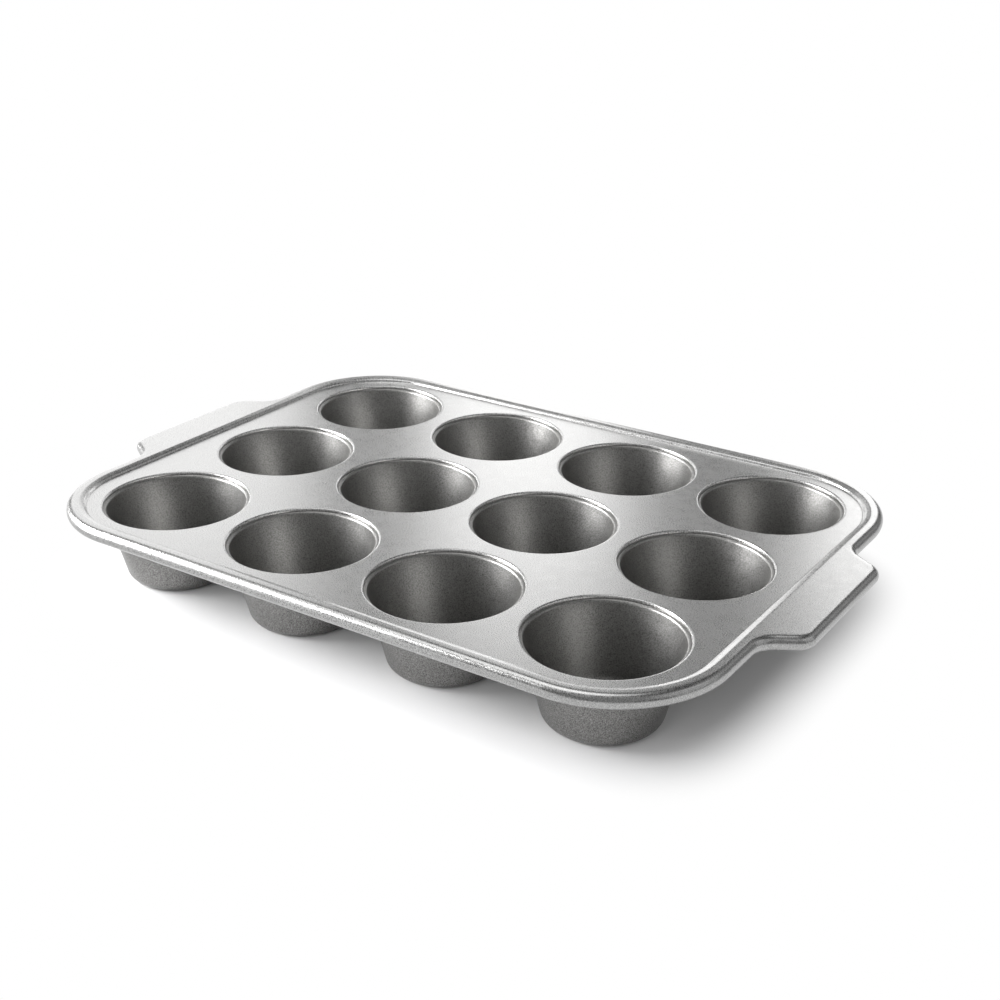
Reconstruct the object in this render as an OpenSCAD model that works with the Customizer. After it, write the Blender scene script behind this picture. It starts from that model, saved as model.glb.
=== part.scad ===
// Twelve-cup muffin tin: a pressed deck with a step round the cups, tab handles and a wired edge,
// and twelve drawn cups whose necks are pressed on to collars under the deck.
// Millimetres. The cups stand on z = 0, the long side runs along X, and the middle is at x = y = 0.

/* [Cups] */
// Distance between neighbouring cup centres, along and across
cup_pitch = 83; // [81:0.5:100]
// Height of the deck's upper face above the surface that the cups stand on
deck_z = 40; // [28:0.5:60]
// Thickness of the cup sheet
cup_t = 0.7; // [0.4:0.05:1]
// Outside radius of the bend between a cup's floor and its wall
base_bend_r = 7; // [3:0.25:10]
// Upper radius of the rounded shoulder between a cup's ledge and its wall
shoulder_r = 1.5; // [1:0.1:3.5]
// Width of the ledge that shows inside the collar
ledge_w = 0.3; // [0.1:0.05:1]
// Reach of the lip that lies under the deck, measured from the neck
lip_w = 1.6; // [0.8:0.1:2.2]

/* [Deck] */
// Thickness of the deck sheet
deck_t = 0.8; // [0.5:0.05:0.9]
// Inside radius of the turned-down collar round each cup
mouth_r = 36.2; // [32:0.1:37.2]
// Depth of the collar below the deck's upper face
collar_h = 1.3; // [1.2:0.05:3]
// Bend radius on the underside, where the deck turns down into a collar
collar_bend_r = 0.2; // [0.1:0.05:0.4]
// From the last cup centres to the foot of the step, on the short sides
end_margin = 46.3; // [44:0.1:60]
// From the last cup centres to the foot of the step, on the long sides
side_margin = 42.5; // [42:0.1:60]
// Corner radius of the cup field, at the foot of the step
corner_r = 46; // [30:0.5:48]

/* [Step and flange] */
// Length of the straight stretch of the step's steep side
rise_len = 0.6; // [0.2:0.05:3]
// Length of the straight stretch of the gentle slope above it
slope_len = 1.6; // [0.2:0.05:5]
// Hollow radius at the step's foot
foot_r = 1.2; // [0.6:0.1:1.6]
// Radius where the steep side turns on to the gentle slope
crest_r = 1.5; // [1.3:0.1:3]
// Radius where the gentle slope turns on to the flange
brow_r = 3; // [1:0.1:5]
// Width of the level flange between the step and the rolled edge
flange_w = 2.2; // [0.2:0.1:8]

/* [Rolled edge] */
// Outside diameter of the rolled edge
roll_d = 7; // [5:0.1:8]
// Opening left between the sheet's free edge and the flange, in degrees round the roll
roll_gap = 60; // [40:5:90]

/* [Handles] */
// Width of a handle where it grows out of the side
handle_root_w = 116; // [100:0.5:150]
// Straight length of a handle's slanted sides
handle_side = 9.25; // [3:0.25:25]
// Hollow radius where a handle grows out of the side
handle_root_r = 15; // [8:0.5:20]
// Radius of a handle's tip corners
handle_tip_r = 7; // [5:0.25:12]

/* [Fits] */
// Room between a collar and the cup that is pressed on to it
seat_gap = 0.05; // [0.02:0.01:0.1]
// Room between the wire and the sheet rolled round it
wire_gap = 0.1; // [0.02:0.01:0.3]

/* [Hidden] */
$fn = 96;

// Cups along and across the tin
cup_cols = 4;
cup_rows = 3;
sheet_grey = [0.74, 0.73, 0.71];
cup_grey = [0.62, 0.61, 0.59];
wire_grey = [0.5, 0.51, 0.53];

// Directions as unit vectors: up a cup's wall, up the step's steep side and its gentle slope,
// and square to a handle's slanted side
wall_dir = [0.238734, 0.971085];
rise_dir = [0.6, 0.8];
slope_dir = [0.96, 0.28];
side_dir = [0.5376, 0.8432];

// Cup field: half sizes at the foot of the step
foot_x = (cup_cols - 1) / 2 * cup_pitch + end_margin;
foot_y = (cup_rows - 1) / 2 * cup_pitch + side_margin;

// Step section: foot arc, steep side, crest arc, gentle slope and brow arc
rise_n = [-rise_dir[1], rise_dir[0]];
slope_n = [-slope_dir[1], slope_dir[0]];
foot_c = [0, foot_r];
rise_foot = foot_c - foot_r * rise_n;
rise_head = rise_foot + rise_len * rise_dir;
crest_c = rise_head - crest_r * rise_n;
slope_foot = crest_c + crest_r * slope_n;
slope_head = slope_foot + slope_len * slope_dir;
brow_c = slope_head - brow_r * slope_n;
step_w = brow_c[0];
flange_h = brow_c[1] + brow_r;

// Overlap of two straight runs that are carried towards each other
splice = 1;

// Line that the rolled edge follows: half sizes and corner radius without the handles,
// held to thousandths of a millimetre
edge_steps = 1000;
roll_r = roll_d / 2;
edge_u = round(edge_steps * (step_w + flange_w)) / edge_steps;
strip_w = edge_u - step_w;
edge_x = foot_x + edge_u;
edge_y = foot_y + edge_u;
edge_corner_r = corner_r + edge_u;
edge_z = deck_z + flange_h - roll_r;
wire_r = roll_r - deck_t - wire_gap;

// Handle: the hollow root turns on to the slanted side, and the tip corner turns back
root_y = handle_root_w / 2;
tip_half = root_y - (handle_root_r + handle_tip_r) * side_dir[1] - handle_side * side_dir[0];
handle_reach = (handle_root_r + handle_tip_r) * (1 - side_dir[0]) + handle_side * side_dir[1];
edge_len_y = edge_y - edge_corner_r - root_y;

// Collar and the cup's neck round it
collar_top_r = collar_bend_r + deck_t;
hole_r = mouth_r + collar_top_r;
neck_in_r = mouth_r + deck_t + seat_gap;
lip_z = deck_z - deck_t - seat_gap;
lip_bend_r = collar_bend_r - min(seat_gap, collar_bend_r / 2);
ledge_z = deck_z - collar_h - seat_gap;

// Cup wall: it leaves the shoulder's round, and where it meets the base bend sets the floor's radius
wall_out = [wall_dir[1], -wall_dir[0]];
shoulder_c = [mouth_r - ledge_w, ledge_z - shoulder_r];
base_in_r = base_bend_r - cup_t;
wall_side = (base_in_r + shoulder_r) * wall_out;
wall_len = (shoulder_c[1] - base_bend_r - wall_side[1]) / wall_dir[1];
floor_r = shoulder_c[0] - wall_side[0] - wall_len * wall_dir[0];
base_c = [floor_r, base_bend_r];

// Neck and lip as seen from the shoulder's centre
neck_x = neck_in_r - shoulder_c[0];
lip_y = lip_z - shoulder_c[1];

// Turns what follows from +X to the direction d
module face_along(d) {
    multmatrix([[d[0], -d[1], 0, 0], [d[1], d[0], 0, 0], [0, 0, 1, 0], [0, 0, 0, 1]])
        children();
}

// Flat sector of a ring, from the direction d0 on to d1, less than half a turn
module ring_part(r_in, r_out, d0, d1) {
    intersection() {
        difference() {
            circle(r_out);
            circle(r_in);
        }
        face_along(d0)
            translate([-2 * r_out, 0])
                square([4 * r_out, 2 * r_out]);
        face_along(d1)
            translate([-2 * r_out, -2 * r_out])
                square([4 * r_out, 2 * r_out]);
    }
}

// Stretch of sheet below the straight line from a to b, whose upper side faces n
module sheet_strip(a, b, n, t) {
    polygon([a, b, b - t * n, a - t * n]);
}

// Rectangle with round corners, half sizes hx and hy
module round_rect(hx, hy, r) {
    square([2 * hx, 2 * (hy - r)], center = true);
    square([2 * (hx - r), 2 * hy], center = true);
    for (sx = [-1, 1], sy = [-1, 1])
        translate([sx * (hx - r), sy * (hy - r)])
            circle(r);
}

// Straight run of a section that faces +X, at the distance r and from y = 0 down to y = -len
module run(r, len) {
    translate([r, 0, 0])
        rotate([90, 0, 0])
            linear_extrude(len)
                children();
}

// Section carried round a quarter turn of radius r, from +X to +Y
module quarter_turn(r) {
    rotate_extrude(angle = 90)
        translate([r, 0])
            children();
}

// Section carried from +X round to the direction of the handle's slanted side
module side_turn(r) {
    reach = 4 * r;
    intersection() {
        quarter_turn(r)
            children();
        face_along(side_dir)
            translate([0, -reach, -reach])
                cube([reach, reach, 2 * reach]);
    }
}

module all_quarters() {
    for (m = [0, 1], n = [0, 1])
        mirror([m, 0, 0])
            mirror([0, n, 0])
                children();
}

// Section carried round the corners of a rectangle with round corners and along its sides: over the middle of
// the long ones, and as far as side_len along the short ones
module round_sides(hx, hy, r, side_len) {
    all_quarters()
        translate([hx - r, hy - r, 0]) {
            quarter_turn(r)
                children();
            run(r, side_len)
                children();
            mirror([1, 0, 0])
                rotate([0, 0, 90])
                    run(r, hx - r + splice)
                        children();
        }
}

// Section carried along the two handles' edges, from the straight beside a root to the middle of a tip
module handle_edge() {
    all_quarters()
        translate([edge_x + handle_root_r, root_y, 0]) {
            mirror([0, 1, 0])
                run(-handle_root_r, 2 * splice)
                    children();
            rotate([0, 0, 180])
                side_turn(handle_root_r)
                    mirror([1, 0])
                        children();
            face_along(side_dir) {
                run(-handle_root_r, handle_side)
                    children();
                translate([-handle_root_r - handle_tip_r, -handle_side, 0])
                    face_along([side_dir[0], -side_dir[1]]) {
                        side_turn(handle_tip_r)
                            children();
                        run(handle_tip_r, tip_half + splice)
                            children();
                    }
            }
        }
}

// Section carried along the whole edge, handles included
module round_edge() {
    round_sides(edge_x, edge_y, edge_corner_r, edge_len_y - splice)
        children();
    handle_edge()
        children();
}

// Plan of the level sheet in one handle: it ends on the level strip beside the rolled edge
module handle_plan() {
    inset = strip_w / 2;
    root_in = handle_root_r + inset;
    tip_in = handle_tip_r - inset;
    root_c = [edge_x + handle_root_r, root_y];
    tip_c = [edge_x + handle_reach - handle_tip_r, tip_half];
    inner_x = foot_x + step_w;
    for (m = [0, 1])
        mirror([0, m]) {
            difference() {
                polygon([[inner_x, 0], [inner_x, root_y + inset], [edge_x - inset, root_y + inset],
                         root_c - [root_in, 0], root_c, root_c - root_in * side_dir,
                         tip_c + tip_in * side_dir, tip_c + [tip_in, 0], [tip_c[0] + tip_in, 0]]);
                translate(root_c)
                    circle(root_in);
            }
            translate(tip_c)
                circle(tip_in);
        }
}

// Section of the step: u = 0 at its foot, height measured from the deck's upper face
module step_section() {
    translate(foot_c)
        ring_part(foot_r, foot_r + deck_t, [0, -1], -rise_n);
    sheet_strip(rise_foot, rise_head, rise_n, deck_t);
    translate(crest_c)
        ring_part(crest_r - deck_t, crest_r, slope_n, rise_n);
    sheet_strip(slope_foot, slope_head, slope_n, deck_t);
    translate(brow_c)
        ring_part(brow_r - deck_t, brow_r, [0, 1], slope_n);
}

// Section of the rolled edge about the wire's centre, with the level strip that leads into it
module edge_section() {
    far = 3 * roll_r;
    difference() {
        circle(roll_r);
        circle(roll_r - deck_t);
        polygon([[0, 0], [0, far], far * [-sin(roll_gap / 2), cos(roll_gap / 2)],
                 far * [-sin(roll_gap), cos(roll_gap)]]);
    }
    translate([-strip_w, roll_r - deck_t])
        square([strip_w, deck_t]);
}

// Section of the collar, height measured from the deck's upper face
module collar_section() {
    translate([hole_r, -collar_top_r])
        ring_part(collar_bend_r, collar_top_r, [0, 1], [-1, 0]);
    translate([mouth_r, -collar_h])
        square([deck_t, collar_h - collar_top_r]);
}

// Section of a cup's shoulder, ledge, neck and lip about the shoulder's centre
module neck_section() {
    ring_part(shoulder_r - cup_t, shoulder_r, [0, 1], -wall_out);
    translate([0, shoulder_r - cup_t])
        square([neck_x + cup_t, cup_t]);
    translate([neck_x, shoulder_r - cup_t])
        square([cup_t, lip_y - lip_bend_r - shoulder_r + cup_t]);
    translate([neck_x + lip_bend_r, lip_y - lip_bend_r])
        ring_part(0, lip_bend_r, [0, 1], [-1, 0]);
    translate([neck_x + lip_bend_r, lip_y - cup_t])
        square([cup_t - lip_bend_r + lip_w, cup_t]);
}

// Section of a whole cup: floor, base bend and wall, then the parts above the wall
module cup_section() {
    square([floor_r, cup_t]);
    translate(base_c) {
        ring_part(base_in_r, base_bend_r, [0, -1], wall_out);
        face_along(wall_out) {
            translate([base_in_r, 0])
                square([cup_t, wall_len]);
            translate([base_in_r + shoulder_r, wall_len])
                face_along([wall_out[0], -wall_out[1]])
                    neck_section();
        }
    }
}

// Pressed sheet: field with collared holes, step, flange, handles and rolled edge
module deck() {
    color(sheet_grey) {
        translate([0, 0, deck_z - deck_t])
            linear_extrude(deck_t)
                difference() {
                    round_rect(foot_x, foot_y, corner_r);
                    at_cups()
                        circle(hole_r);
                }
        translate([0, 0, deck_z])
            at_cups()
                rotate_extrude()
                    collar_section();
        translate([0, 0, deck_z])
            round_sides(foot_x, foot_y, corner_r, foot_y - corner_r + splice)
                step_section();
        translate([0, 0, deck_z + flange_h - deck_t])
            linear_extrude(deck_t)
                for (m = [0, 1])
                    mirror([m, 0])
                        handle_plan();
        translate([0, 0, edge_z])
            round_edge()
                edge_section();
    }
}

// Steel wire inside the rolled edge
module rim_wire() {
    color(wire_grey)
        translate([0, 0, edge_z])
            round_edge()
                circle(wire_r);
}

// Places of the cups, counted from the front left one
function cup_place(col, row) =
    [(col - (cup_cols - 1) / 2) * cup_pitch, (row - (cup_rows - 1) / 2) * cup_pitch];

module at_cups() {
    for (col = [0:cup_cols - 1], row = [0:cup_rows - 1])
        translate(cup_place(col, row))
            children();
}

// Drawn cup with its neck and lip
module cup(col, row) {
    color(cup_grey)
        translate(cup_place(col, row))
            rotate_extrude()
                cup_section();
}

deck();
rim_wire();
cup(0, 0);  // cup_front_1
cup(1, 0);  // cup_front_2
cup(2, 0);  // cup_front_3
cup(3, 0);  // cup_front_4
cup(0, 1);  // cup_middle_1
cup(1, 1);  // cup_middle_2
cup(2, 1);  // cup_middle_3
cup(3, 1);  // cup_middle_4
cup(0, 2);  // cup_back_1
cup(1, 2);  // cup_back_2
cup(2, 2);  // cup_back_3
cup(3, 2);  // cup_back_4
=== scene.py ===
import math

import bmesh
import bpy
from mathutils import Matrix, Vector


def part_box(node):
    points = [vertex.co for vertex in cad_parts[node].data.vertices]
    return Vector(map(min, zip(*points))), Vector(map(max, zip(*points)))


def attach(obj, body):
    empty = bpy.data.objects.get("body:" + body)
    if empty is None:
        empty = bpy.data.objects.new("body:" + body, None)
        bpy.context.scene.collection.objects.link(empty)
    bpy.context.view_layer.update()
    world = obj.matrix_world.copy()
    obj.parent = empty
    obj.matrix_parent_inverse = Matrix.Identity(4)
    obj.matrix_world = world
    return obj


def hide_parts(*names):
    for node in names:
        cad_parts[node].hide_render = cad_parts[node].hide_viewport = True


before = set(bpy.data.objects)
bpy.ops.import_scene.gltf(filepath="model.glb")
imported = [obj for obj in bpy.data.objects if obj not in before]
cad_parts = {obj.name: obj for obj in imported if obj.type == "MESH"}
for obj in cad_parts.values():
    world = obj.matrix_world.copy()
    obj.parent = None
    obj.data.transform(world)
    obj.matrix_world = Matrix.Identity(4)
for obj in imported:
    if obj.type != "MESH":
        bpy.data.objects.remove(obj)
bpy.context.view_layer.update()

# Deck
# One pressed steel sheet: a flat field with twelve collared holes, a step up round the field, a narrow
# level flange, two tab handles, and an edge that is rolled round a wire along the whole outline.
MM = 0.001
UP = Vector((0, 0, 1))
LONG = Vector((1, 0, 0))
ACROSS = Vector((0, 1, 0))
quarter = math.pi / 2
weld = 0.001 * MM
guard = 0.4 * MM

sheet_t = 0.8 * MM
seat_gap = 0.05 * MM
rise_len = 0.6 * MM
slope_len = 1.6 * MM
foot_r = 1.2 * MM
crest_r = 1.5 * MM
brow_r = 3.0 * MM
flange_w = 2.2 * MM
roll_r = 3.5 * MM
roll_sweep = math.radians(300)
bend_steps = 6
brow_steps = 5
roll_steps = 44
rise_dir = Vector((0, 0.6, 0.8))
slope_dir = Vector((0, 0.96, 0.28))
rise_angle = math.atan2(rise_dir.z, rise_dir.y)
slope_angle = math.atan2(slope_dir.z, slope_dir.y)

end_margin = 46.3 * MM
side_margin = 42.5 * MM
corner_r = 46.0 * MM
corner_steps = 30
collar_r = 36.2 * MM
collar_bend_r = 1.0 * MM
collar_h = 1.3 * MM
collar_bend_steps = 8
collar_steps = 96

root_y = 58.0 * MM
root_r = 15.0 * MM
tip_r = 7.0 * MM
handle_side = 9.25 * MM
root_steps = 12
tip_steps = 10
side_out = Vector((0.5376, 0.8432, 0))
side_along = Vector((side_out.y, -side_out.x, 0))
side_angle = math.atan2(side_out.y, side_out.x)

cup_names = [f"cup_{row}_{col}" for row in ("front", "middle", "back") for col in range(1, 5)]
cup_places = {name: sum(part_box(name), Vector()) / 2 for name in cup_names}
foot_x = max(place.x for place in cup_places.values()) + end_margin
foot_y = max(place.y for place in cup_places.values()) + side_margin
field_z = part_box(cup_names[0])[1].z + seat_gap + sheet_t


def go_straight(bm, tip, move):
    """Extrudes tip along move. A long run gets an edge close to each end, so that its shading stays flat."""
    near = guard / move.length
    shares = (near, 1 - 2 * near, near) if near < 0.25 else (1,)
    for share in shares:
        made = bmesh.ops.spin(bm, geom=tip, axis=UP, angle=0, dvec=move * share, steps=1)
        tip = made["geom_last"]
    return tip


def swing(bm, tip, centre, axis, angle, steps):
    """Extrudes tip round an arc about centre."""
    made = bmesh.ops.spin(bm, geom=tip, cent=centre, axis=axis, angle=angle, steps=steps)
    return made["geom_last"]


def pour(source, target):
    """Moves all that source holds into target."""
    carrier = bpy.data.meshes.new("carrier")
    source.to_mesh(carrier)
    source.free()
    target.from_mesh(carrier)
    bpy.data.meshes.remove(carrier)


def close_flat(bm, z):
    """Fills the open edges at one height with level sheet."""
    edges = [e for e in bm.edges if e.is_boundary and all(abs(v.co.z - z) < weld for v in e.verts)]
    bmesh.ops.triangle_fill(bm, edges=edges, normal=UP)


# The step's upper face is drawn by a moving point, from the field to the middle of the flange
rise_n = Vector((0, -rise_dir.z, rise_dir.y))
slope_n = Vector((0, -slope_dir.z, slope_dir.y))
step = bmesh.new()
tip = [step.verts.new((0, foot_y - guard, field_z))]
tip = go_straight(step, tip, ACROSS * guard)
tip = swing(step, tip, tip[0].co + UP * foot_r, LONG, rise_angle, bend_steps)
tip = go_straight(step, tip, rise_dir * rise_len)
tip = swing(step, tip, tip[0].co - rise_n * crest_r, LONG, slope_angle - rise_angle, bend_steps)
tip = go_straight(step, tip, slope_dir * slope_len)
tip = swing(step, tip, tip[0].co - slope_n * brow_r, LONG, -slope_angle, brow_steps)
tip = go_straight(step, tip, ACROSS * flange_w / 2)
flange_mid = tip[0].co.copy()

# The rolled edge goes on from there
roll = bmesh.new()
tip = [roll.verts.new(flange_mid)]
tip = go_straight(roll, tip, ACROSS * flange_w / 2)
edge_u = tip[0].co.y - foot_y
swing(roll, tip, tip[0].co - UP * roll_r, LONG, -roll_sweep, roll_steps)

# Both sections are carried along a quarter of the outline
corner = Vector((foot_x - corner_r, foot_y - corner_r, 0))
ends = {}
for name, bm in (("step", step), ("roll", roll)):
    section = bm.verts[:] + bm.edges[:]
    section = go_straight(bm, section, LONG * corner.x)
    section = swing(bm, section, corner, UP, -quarter, corner_steps)
    ends[name] = go_straight(bm, section, -ACROSS * (corner.y - root_y))
go_straight(step, ends["step"], -ACROSS * root_y)

# The rolled edge turns on to the handle's side, round its tip and along to the middle
root_c = Vector((foot_x + edge_u + root_r, root_y, 0))
tip_c = root_c - side_out * (root_r + tip_r) + side_along * handle_side
section = swing(roll, ends["roll"], root_c, UP, side_angle, root_steps)
section = go_straight(roll, section, side_along * handle_side)
section = swing(roll, section, tip_c, UP, -side_angle, tip_steps)
go_straight(roll, section, -ACROSS * tip_c.y)

deck = bmesh.new()
pour(step, deck)
pour(roll, deck)
for axis in ("X", "Y"):
    bmesh.ops.mirror(deck, geom=deck.verts[:] + deck.edges[:] + deck.faces[:], axis=axis, merge_dist=weld)
bmesh.ops.remove_doubles(deck, verts=deck.verts, dist=weld)
close_flat(deck, flange_mid.z)

# Each hole's edge is turned down into a collar
for place in cup_places.values():
    collar = bmesh.new()
    tip = [collar.verts.new((place.x + collar_r + collar_bend_r + guard, place.y, field_z))]
    tip = go_straight(collar, tip, -LONG * guard)
    tip = swing(collar, tip, tip[0].co - UP * collar_bend_r, -ACROSS, quarter, collar_bend_steps)
    go_straight(collar, tip, -UP * (collar_h - collar_bend_r))
    bmesh.ops.spin(collar, geom=collar.verts[:] + collar.edges[:], cent=place, axis=UP,
                   angle=4 * quarter, steps=collar_steps, use_merge=True)
    pour(collar, deck)
close_flat(deck, field_z)
bmesh.ops.recalc_face_normals(deck, faces=deck.faces)
bmesh.ops.solidify(deck, geom=deck.faces[:], thickness=sheet_t)
sharp_from = math.radians(40)
collar_clear = 3 * MM


def mark_underside(bm, holes=(), hole_r=0):
    """Marks each point of bm 1 on the sheet's outer and lower faces, and 0 elsewhere and round the holes;
    the coats paint shade where it is 1.
    """
    bm.normal_update()
    layer = bm.verts.layers.float.new("underside")
    for vert in bm.verts:
        outwards = Vector((vert.co.x, vert.co.y, 0)).normalized() - UP
        clear = all((vert.co - hole).to_2d().length > hole_r for hole in holes)
        vert[layer] = 1 if clear and vert.normal.dot(outwards) > 0 else 0


def finish_piece(bm, name):
    """Makes a smooth object of bm, with its square sheet edges left sharp."""
    for face in bm.faces:
        face.smooth = True
    for edge in bm.edges:
        edge.smooth = edge.calc_face_angle(0) < sharp_from
    mesh = bpy.data.meshes.new(name)
    bm.to_mesh(mesh)
    bm.free()
    piece = bpy.data.objects.new(name, mesh)
    bpy.context.scene.collection.objects.link(piece)
    return piece


class Wire:
    """A node's output that can be used in arithmetic: each operator adds a Math node."""

    def __init__(self, socket):
        self.socket = socket

    def node(self, kind, settings=None, inputs=None, out=0):
        """Adds a node, sets it up, fills or links its inputs, and gives back one of its outputs."""
        tree = self.socket.id_data
        made = tree.nodes.new("ShaderNode" + kind)
        for name, value in (settings or {}).items():
            setattr(made, name, value)
        for name, value in (inputs or {}).items():
            if isinstance(value, Wire):
                tree.links.new(value.socket, made.inputs[name])
            else:
                made.inputs[name].default_value = value
        return Wire(made.outputs[out])

    def maths(self, operation, first, second):
        return self.node("Math", {"operation": operation}, {0: first, 1: second})

    def __add__(self, other):
        return self.maths("ADD", self, other)

    def __radd__(self, other):
        return self.maths("ADD", other, self)

    def __sub__(self, other):
        return self.maths("SUBTRACT", self, other)

    def __rsub__(self, other):
        return self.maths("SUBTRACT", other, self)

    def __mul__(self, other):
        return self.maths("MULTIPLY", self, other)

    def __rmul__(self, other):
        return self.maths("MULTIPLY", other, self)


def new_material(name):
    """An empty material, its Principled shader and the object coordinates to start from."""
    material = bpy.data.materials.new(name)
    material.use_nodes = True
    tree = material.node_tree
    shader = tree.nodes["Principled BSDF"]
    coords = tree.nodes.new("ShaderNodeTexCoord")
    return material, shader, Wire(coords.outputs["Object"])


def plug(wire, shader, name):
    shader.id_data.links.new(wire.socket, shader.inputs[name])


def satin_coat(name, dark, light, roughness, grain_h, underside_painted_shade):
    """Metallic bakeware coat: satin grey with fine flakes that sparkle, with painted shade darkening its
    colour on outer and lower faces.
    """
    material, shader, place = new_material(name)
    flake_size = 0.5 * MM
    cloud_size = 6 * MM
    wave_size = 45 * MM
    wave_h = 0.12 * MM
    wave_share = 0.3
    full_tone = 0.7
    flake_tone = 1.8
    cloud_tone = 0.15
    flake_rough = 0.2
    cloud_rough = 0.08
    flakes = place.node("TexNoise", None, {"Vector": place, "Scale": 1 / flake_size, "Detail": 1.0,
                                           "Roughness": 0.5})
    clouds = place.node("TexNoise", None, {"Vector": place, "Scale": 1 / cloud_size, "Detail": 3.0})
    waves = place.node("TexNoise", None, {"Vector": place, "Scale": 1 / wave_size, "Detail": 1.0})
    underside = place.node("Attribute", {"attribute_name": "underside"}, None, out=2)
    # Outer and lower faces get a darker colour: painted shade, for the shadowed table that they reflect
    tone = full_tone - underside_painted_shade * underside + flake_tone * (flakes - 0.5) + cloud_tone * (clouds - 0.5)
    colour = place.node("Mix", {"data_type": "RGBA"}, {0: tone, 6: dark, 7: light}, out=2)
    plug(colour, shader, "Base Color")
    plug(roughness + flake_rough * (flakes - 0.5) + cloud_rough * (clouds - 0.5), shader, "Roughness")
    shader.inputs["Metallic"].default_value = 1.0
    grain = place.node("Bump", None, {"Strength": 1.0, "Distance": grain_h, "Height": flakes})
    press = place.node("Bump", None, {"Strength": wave_share, "Distance": wave_h, "Height": waves,
                                      "Normal": grain})
    plug(press, shader, "Normal")
    return material


# The deck's roll and lower faces are marked for painted shade; the collars are left out
mark_underside(deck, cup_places.values(), collar_r + collar_clear)
deck_piece = finish_piece(deck, "deck_sheet")
deck_coat = satin_coat("deck_coat", dark=(0.35, 0.35, 0.348, 1), light=(0.745, 0.743, 0.736, 1),
                       roughness=0.29, grain_h=0.012 * MM, underside_painted_shade=0.6)
deck_piece.data.materials.append(deck_coat)
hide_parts("deck")
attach(deck_piece, "root")

# Rim wire
# A hard drawn steel wire that the sheet's edge is rolled round. It shows only from below, where the roll
# stays open.
wire_dark = (0.28, 0.285, 0.3, 1)
wire_light = (0.5, 0.505, 0.52, 1)
wire_rough = 0.28
scratch_rough = 0.2
scratch_scale = 8.0
wire, shader, place = new_material("drawn_wire")
scratch_stretch = place.node("Mapping", None, {"Vector": place, "Scale": (40, 40, 900)})
scratches = place.node("TexNoise", None, {"Vector": scratch_stretch, "Scale": scratch_scale, "Detail": 3.0})
tone = place.node("Mix", {"data_type": "RGBA"}, {0: scratches, 6: wire_dark, 7: wire_light}, out=2)
plug(tone, shader, "Base Color")
plug(wire_rough + scratch_rough * scratches, shader, "Roughness")
shader.inputs["Metallic"].default_value = 1.0
wire_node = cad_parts["rim_wire"]
wire_node.data.materials.clear()
wire_node.data.materials.append(wire)

# Cups
# Twelve drawn steel cups with a coarser coat than the deck's, coloured darker as painted shade of the hollow
# cups and of their walls under the deck. Each has a flat floor, a tapered wall, a rounded shoulder, a ledge
# under the collar, and a neck with a lip that is pressed on to the collar.
cup_t = 0.7 * MM
base_bend_r = 7.0 * MM
shoulder_r = 1.5 * MM
ledge_w = 0.3 * MM
lip_w = 1.6 * MM
lip_bend_r = 0.15 * MM
base_steps = 12
shoulder_steps = 10
lip_steps = 4
cup_steps = 112
wall_dir = Vector((0.238734, 0, 0.971085))
wall_out = Vector((wall_dir.z, 0, -wall_dir.x))
wall_angle = math.atan2(wall_dir.z, wall_dir.x)
SIDEWAYS = -ACROSS

neck_r = collar_r + sheet_t + seat_gap
ledge_z = field_z - collar_h - seat_gap
lip_z = field_z - sheet_t - seat_gap
shoulder_c = Vector((collar_r - ledge_w, 0, ledge_z - shoulder_r))
base_in_r = base_bend_r - cup_t
wall_side = (base_in_r + shoulder_r) * wall_out
wall_len = (shoulder_c.z - base_bend_r - wall_side.z) / wall_dir.z
floor_r = shoulder_c.x - wall_side.x - wall_len * wall_dir.x
base_c = Vector((floor_r, 0, base_bend_r))
lip_c = Vector((neck_r + lip_bend_r, 0, lip_z - lip_bend_r))

cup = bmesh.new()
tip = [cup.verts.new((0, 0, cup_t))]
tip = go_straight(cup, tip, LONG * floor_r)
tip = swing(cup, tip, base_c, SIDEWAYS, wall_angle, base_steps)
tip = go_straight(cup, tip, wall_dir * wall_len)
tip = swing(cup, tip, shoulder_c, SIDEWAYS, -wall_angle, shoulder_steps)
tip = go_straight(cup, tip, LONG * (neck_r - shoulder_c.x))
tip = go_straight(cup, tip, UP * (lip_c.z - ledge_z))
tip = swing(cup, tip, lip_c, SIDEWAYS, -quarter, lip_steps)
tip = go_straight(cup, tip, LONG * (cup_t - lip_bend_r + lip_w))
tip = go_straight(cup, tip, -UP * cup_t)
tip = go_straight(cup, tip, -LONG * lip_w)
tip = go_straight(cup, tip, -UP * (lip_z - ledge_z))
tip = go_straight(cup, tip, -LONG * (neck_r + cup_t - shoulder_c.x))
tip = swing(cup, tip, shoulder_c, SIDEWAYS, wall_angle, shoulder_steps)
tip = go_straight(cup, tip, -wall_dir * wall_len)
tip = swing(cup, tip, base_c, SIDEWAYS, -wall_angle, base_steps)
go_straight(cup, tip, -LONG * floor_r)
bmesh.ops.spin(cup, geom=cup.verts[:] + cup.edges[:], axis=UP, angle=4 * quarter, steps=cup_steps,
               use_merge=True)
bmesh.ops.remove_doubles(cup, verts=cup.verts, dist=weld)
bmesh.ops.recalc_face_normals(cup, faces=cup.faces)
# The cups' outer walls are marked for painted shade
mark_underside(cup)

# Darker cup colour than the deck's: painted shade of the cups' hollows and of the walls under the deck
cup_coat = satin_coat("cup_coat", dark=(0.07, 0.069, 0.067, 1), light=(0.40, 0.396, 0.387, 1),
                      roughness=0.41, grain_h=0.03 * MM, underside_painted_shade=0.25)
for name, place in cup_places.items():
    copy = cup.copy()
    bmesh.ops.translate(copy, verts=copy.verts, vec=(place.x, place.y, 0))
    cup_piece = finish_piece(copy, name.replace("cup", "drawn_cup"))
    cup_piece.data.materials.append(cup_coat)
    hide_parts(name)
    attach(cup_piece, "root")
cup.free()

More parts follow.
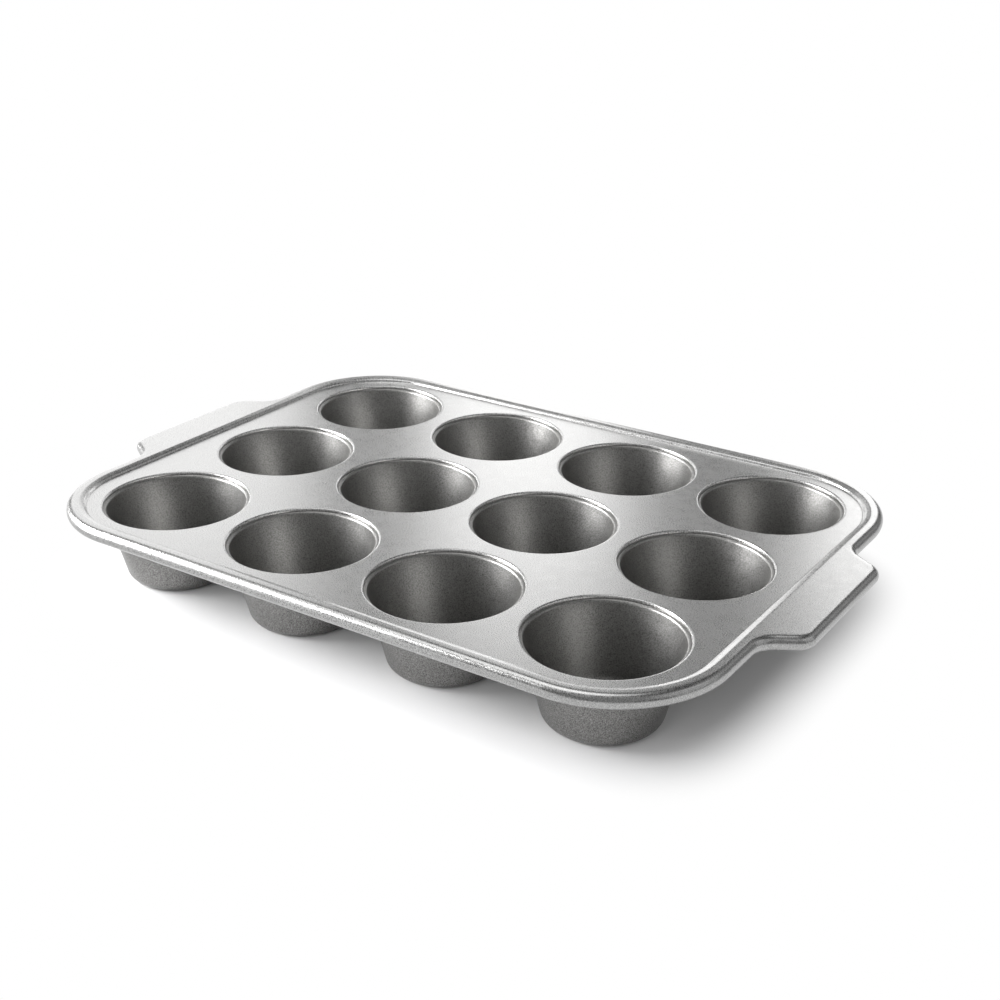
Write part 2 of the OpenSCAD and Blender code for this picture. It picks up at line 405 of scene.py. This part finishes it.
# Floor
# A plain white table top that the tin stands on. Near the tin it is lit by the lamps and keeps the shadow,
# and further out it runs into white, which the camera and the metal both see.
table_r = 6.0
table_sides = 64
shade_x = 0.165
shade_y = 0.13
white_from = 1.0
white_at = 1.24


def fade(wire, start, end, low, high):
    """A smooth step from low to high while wire goes from start to end."""
    return wire.node("MapRange", {"interpolation_type": "SMOOTHSTEP"},
                     {"Value": wire, "From Min": start, "From Max": end, "To Min": low, "To Max": high})


floor = bmesh.new()
bmesh.ops.create_circle(floor, cap_ends=True, radius=table_r, segments=table_sides)
floor_piece = finish_piece(floor, "table_top")
white, shader, place = new_material("white_table")
shader.inputs["Base Color"].default_value = (0.86, 0.86, 0.865, 1)
shader.inputs["Roughness"].default_value = 0.7
shader.inputs["Specular IOR Level"].default_value = 0.1
tree = white.node_tree
path = tree.nodes.new("ShaderNodeLightPath")
seen = place.maths("MAXIMUM", Wire(path.outputs["Is Camera Ray"]), Wire(path.outputs["Is Glossy Ray"]))
seen = place.maths("MAXIMUM", seen, Wire(path.outputs["Is Transmission Ray"]))
share_x = place.node("SeparateXYZ", None, {0: place}, out=0) * (1 / shade_x)
share_y = place.node("SeparateXYZ", None, {0: place}, out=1) * (1 / shade_y)
square_x = share_x * share_x
square_y = share_y * share_y
away = place.maths("POWER", square_x * square_x + square_y * square_y, 0.25)
outside = fade(away, white_from, white_at, 0.02, 1.0)
glow = tree.nodes.new("ShaderNodeEmission")
glow.inputs["Color"].default_value = (1, 1, 1, 1)
blend = tree.nodes.new("ShaderNodeMixShader")
plug(outside * seen, blend, 0)
tree.links.new(shader.outputs[0], blend.inputs[1])
tree.links.new(glow.outputs[0], blend.inputs[2])
tree.links.new(blend.outputs[0], tree.nodes["Material Output"].inputs["Surface"])
floor_piece.data.materials.append(white)

# Light and camera
# A dark studio with soft patches of light on its walls. Three upright strips and a dim wall behind the tin
# streak the deck, a soft box on the left lights the cups' right-hand walls, and one in front the table.
world = bpy.data.worlds.new("studio")
bpy.context.scene.world = world
world.use_nodes = True
tree = world.node_tree
background = tree.nodes["Background"]
direction = Wire(tree.nodes.new("ShaderNodeTexCoord").outputs["Generated"])
path = tree.nodes.new("ShaderNodeLightPath")


def patch(axis, outer, inner, level):
    """A round soft patch of light about axis, from nothing at the angle outer to level at inner."""
    along = direction.node("VectorMath", {"operation": "DOT_PRODUCT"}, {0: direction, 1: axis}, out=1)
    return fade(along, math.cos(math.radians(outer)), math.cos(math.radians(inner)), 0, level)


height = direction.node("SeparateXYZ", None, {0: direction}, out=2)
low_left = patch((-0.80, -0.6, 0), 60, 25, 1.4) * fade(height, 0.08, 0.25, 1, 0)
overhead = patch((-0.30, 0.08, 0.951), 26, 10, 1.6)
right_side = patch((0.853, 0.15, 0.5), 34, 12, 0.6)
right_low = patch((0.552, 0.760, 0.342), 40, 14, 0.25)
front_fill = patch((0.418, -0.668, 0.616), 45, 15, 0.3)
dark_wall = 0.05
surround = dark_wall + front_fill + low_left + overhead + right_side + right_low
shown = direction.node("Mix", {"data_type": "FLOAT"},
                       {0: Wire(path.outputs["Is Camera Ray"]), 2: surround, 3: 1.0})
tree.links.new(shown.socket, background.inputs["Color"])


def soft_box(name, centre, aim, size, level):
    """A rectangular lamp at centre that faces aim and looks as bright as level, where 1 is white."""
    lamp = bpy.data.lights.new(name, "AREA")
    lamp.shape = "RECTANGLE"
    lamp.size, lamp.size_y = size
    lamp.energy = level * math.pi * size[0] * size[1]
    box = bpy.data.objects.new(name, lamp)
    box.location = centre
    box.rotation_euler = (Vector(aim) - Vector(centre)).to_track_quat("-Z", "Y").to_euler()
    bpy.context.scene.collection.objects.link(box)
    return box


back = Vector((-0.553, 0.833, 0))
along_wall = Vector((0.833, 0.553, 0))
strip_h = 0.72
wall_w = 1.7
wall_h = 0.9
for name, shift, width, level in (("back_left_strip", -0.485, 0.53, 1.2), ("back_strip", 0.045, 0.25, 1.48),
                                  ("back_right_strip", 0.51, 0.22, 1.95)):
    centre = back + along_wall * shift + UP * strip_h / 2
    soft_box(name, centre, centre - back, (width, strip_h), level)
soft_box("back_wall", back * 1.1 + UP * wall_h / 2, UP * wall_h / 2, (wall_w, wall_h), 0.2)
soft_box("left_box", (-1.15, -0.55, 0.6), (0, 0, 0), (0.9, 0.8), 18.0)
table_box = soft_box("table_box", (-0.15, -1.1, 0.8), (0, 0, 0), (1.2, 1.2), 2.2)
table_box.visible_glossy = False

azimuth = math.radians(33.597)
elevation = math.radians(23.615)
roll_tilt = math.radians(0.443)
distance = 752.7 * MM
target = Vector((9.66 * MM, 9.30 * MM, field_z))
camera = bpy.data.cameras.new("camera")
camera.lens = 53.64
camera.sensor_width = 36.0
camera.clip_end = 50.0
camera_piece = bpy.data.objects.new("camera", camera)
turn = (Matrix.Rotation(azimuth, 4, "Z") @ Matrix.Rotation(math.pi / 2 - elevation, 4, "X")
        @ Matrix.Rotation(roll_tilt, 4, "Z"))
camera_piece.matrix_world = Matrix.Translation(target) @ turn @ Matrix.Translation((0, 0, distance))
bpy.context.scene.collection.objects.link(camera_piece)
bpy.context.scene.camera = camera_piece
bpy.context.scene.view_settings.view_transform = "Standard"
